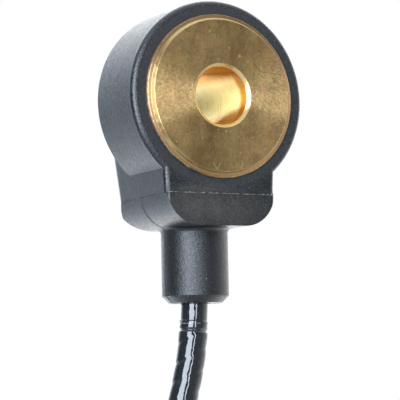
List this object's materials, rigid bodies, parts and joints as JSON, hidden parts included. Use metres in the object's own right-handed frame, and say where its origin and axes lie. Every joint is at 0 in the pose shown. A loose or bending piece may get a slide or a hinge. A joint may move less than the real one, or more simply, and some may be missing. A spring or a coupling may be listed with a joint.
{
  "type": "engine knock sensor",
  "caption": "Ring-type engine knock sensor: brass contact sleeve for one bolt in a moulded nylon housing, with a glossy black lead coiled to a sealed plug.",
  "frame": {"origin": "centre of the bolt bore on the contact face that seats on the engine", "axes": "+Y along the bolt bore, from the contact face toward the bolt head; +Z away from the cable gland, +X to the right when the contact face is looked at with the gland down"},
  "size_m": [0.0591, 0.0281, 0.1586],
  "materials": {
    "contact_brass": "fine-turned, handled and slightly tarnished",
    "housing_nylon": "glass-filled nylon, finely sparked texture",
    "lead_sheath": "smooth, glossy",
    "tie_nylon": "moulded, slightly glossy",
    "plug_nylon": "glass-filled nylon",
    "plug_cap_nylon": "glass-filled nylon",
    "seal_silicone": "soft silicone",
    "blade_tin": "tin-plated",
    "splice_brass": "stamped",
    "contact_sheet": "stamped, bright",
    "insulating_film": "polyimide film",
    "piezo_ceramic": "fired ceramic with silvered faces",
    "mass_steel": "turned",
    "spring_steel": "hardened",
    "nut_steel": "zinc-plated",
    "carrier_nylon": "unfilled nylon",
    "core_signal": "smooth",
    "core_ground": "smooth",
    "ferrule_steel": "plated"
  },
  "bodies": {
    "root": {"contact_sleeve": "contact_brass", "housing": "housing_nylon", "insulating_tube": "insulating_film", "front_insulator": "insulating_film", "front_contact": "contact_sheet", "piezo_ring": "piezo_ceramic", "rear_contact": "contact_sheet", "rear_insulator": "insulating_film", "seismic_mass": "mass_steel", "disc_spring": "spring_steel", "clamp_nut": "nut_steel", "terminal_carrier": "carrier_nylon", "signal_crimp": "splice_brass", "ground_crimp": "splice_brass", "signal_core": "core_signal", "ground_core": "core_ground", "jacket_ferrule": "ferrule_steel", "lead": "lead_sheath", "lead_coil": "lead_sheath", "lead_tail": "lead_sheath", "coil_tie": "tie_nylon", "plug_housing": "plug_nylon", "plug_cap": "plug_cap_nylon", "plug_seal": "seal_silicone", "plug_pin_signal": "blade_tin", "plug_pin_ground": "blade_tin", "plug_signal_core": "core_signal", "plug_ground_core": "core_ground"}
  },
  "joints": []
}
